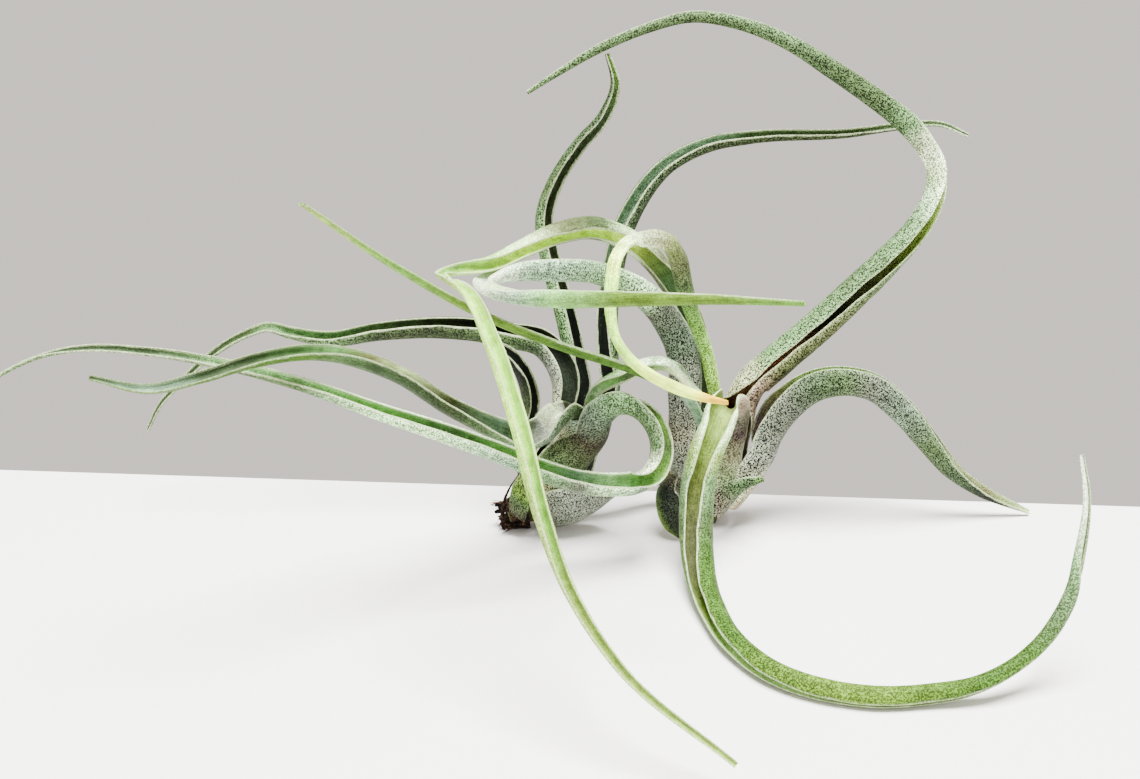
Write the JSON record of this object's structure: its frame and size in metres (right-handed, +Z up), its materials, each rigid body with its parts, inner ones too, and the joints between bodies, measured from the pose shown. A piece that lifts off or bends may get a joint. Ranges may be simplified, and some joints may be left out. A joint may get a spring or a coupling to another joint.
{
  "type": "air plant",
  "caption": "Air plant with a pair of bulbous heads on one short stem and long, channelled, tapering leaves that curl, loop and trail round them.",
  "frame": {"origin": "middle of the small flat foot under the right-hand head, on the surface that the plant lies on", "axes": "+X to the right along the row of the two heads, +Y away from the front, +Z up"},
  "size_m": [0.2351, 0.1244, 0.128],
  "materials": {
    "leaf_back_loop": "dull, with a fuzz of silver-grey scale hairs",
    "leaf_pale_loop": "dull, with a fuzz of silver-grey scale hairs",
    "leaf_kinked": "dull, with a fuzz of silver-grey scale hairs",
    "leaf_folded": "dull, with a fuzz of silver-grey scale hairs",
    "leaf_slim": "dull, with a fuzz of silver-grey scale hairs",
    "leaf_front_arc": "dull, with a fuzz of silver-grey scale hairs",
    "leaf_drooping": "dull, with a fuzz of silver-grey scale hairs",
    "leaf_rear_s": "dull, with a fuzz of silver-grey scale hairs",
    "leaf_rear_right": "dull, with a fuzz of silver-grey scale hairs",
    "leaf_long_left": "dull, with a fuzz of silver-grey scale hairs",
    "leaf_short_dark": "dull, with a fuzz of silver-grey scale hairs",
    "leaf_coiled": "dull, with a fuzz of silver-grey scale hairs",
    "leaf_lower_left": "dull, with a fuzz of silver-grey scale hairs",
    "leaf_small_arch": "dull, with a fuzz of silver-grey scale hairs",
    "leaf_hooked": "dull, with a fuzz of silver-grey scale hairs",
    "scale_right": "dull, with a fuzz of silver-grey scale hairs",
    "scale_silver": "dull, with a fuzz of silver-grey scale hairs",
    "scale_green": "dull, with a fuzz of silver-grey scale hairs",
    "stem": "woody, dull",
    "dry_husk": "dry and papery, torn into strips"
  },
  "bodies": {
    "root": {"leaf_back_loop": "leaf_back_loop", "leaf_pale_loop": "leaf_pale_loop", "leaf_kinked": "leaf_kinked", "leaf_folded": "leaf_folded", "leaf_slim": "leaf_slim", "leaf_front_arc": "leaf_front_arc", "leaf_drooping": "leaf_drooping", "leaf_rear_s": "leaf_rear_s", "leaf_rear_right": "leaf_rear_right", "leaf_long_left": "leaf_long_left", "leaf_short_dark": "leaf_short_dark", "leaf_coiled": "leaf_coiled", "leaf_lower_left": "leaf_lower_left", "leaf_small_arch": "leaf_small_arch", "leaf_hooked": "leaf_hooked", "scale_right": "scale_right", "scale_silver": "scale_silver", "scale_green": "scale_green", "stem": "stem", "dry_husk": "dry_husk"}
  },
  "joints": []
}
